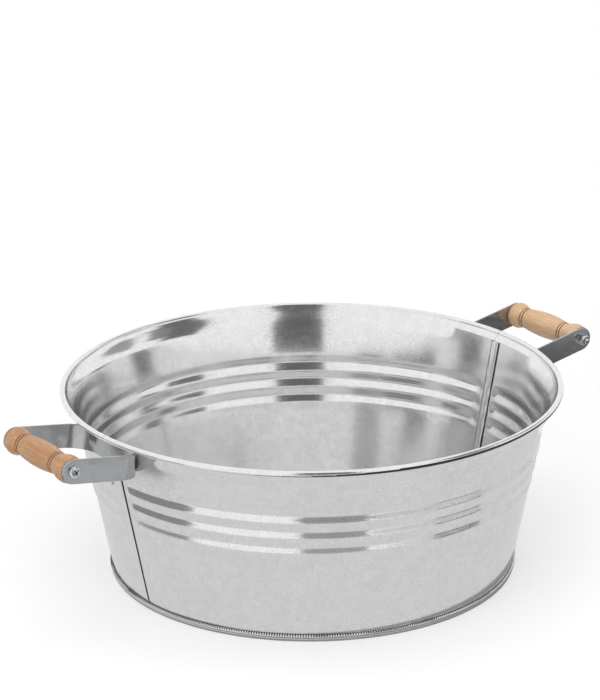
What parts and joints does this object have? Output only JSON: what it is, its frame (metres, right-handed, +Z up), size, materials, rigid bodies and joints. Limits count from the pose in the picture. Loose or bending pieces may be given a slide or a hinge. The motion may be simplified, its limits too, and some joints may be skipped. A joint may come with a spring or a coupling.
{
  "type": "wash tub",
  "caption": "Round galvanised wash tub with a rolled rim, swaged ribs, a double-seamed floor and turned wooden grips on strap brackets.",
  "frame": {"origin": "middle of the ring that the tub stands on, at ground level", "axes": "+Z up along the tub's axis, +X through the right handle, -Y towards the front half of the wall"},
  "size_m": [0.648, 0.5, 0.1978],
  "materials": {
    "zinc_sheet": "hot-dip galvanised, satin with a faint spangle",
    "zinc_strap": "galvanised strap steel, smooth and a little mirror-like",
    "rim_wire": "drawn steel wire, hidden in the rim",
    "plated_steel": "bright zinc-plated fasteners",
    "beech": "turned and clear-lacquered beech",
    "nylon": "moulded nylon ring"
  },
  "bodies": {
    "tub": {"wall_front": "zinc_sheet", "wall_back": "zinc_sheet", "rim_wire": "rim_wire", "floor_pan": "zinc_sheet", "bracket_left": "zinc_strap", "bracket_right": "zinc_strap", "screw_left": "plated_steel", "screw_right": "plated_steel", "lock_nut_left": "plated_steel", "lock_nut_right": "plated_steel", "nut_ring_left": "nylon", "nut_ring_right": "nylon"},
    "grip_left": {"grip_left": "beech"},
    "grip_right": {"grip_right": "beech"}
  },
  "joints": [
    {"name": "grip_left_turn", "type": "hinge", "parent": "tub", "child": "grip_left", "pos_m": [-0.3105, 0, 0.18436], "axis": [0, 1, 0], "continuous": true},
    {"name": "grip_right_turn", "type": "hinge", "parent": "tub", "child": "grip_right", "pos_m": [0.3105, 0, 0.18436], "axis": [0, 1, 0], "continuous": true}
  ]
}
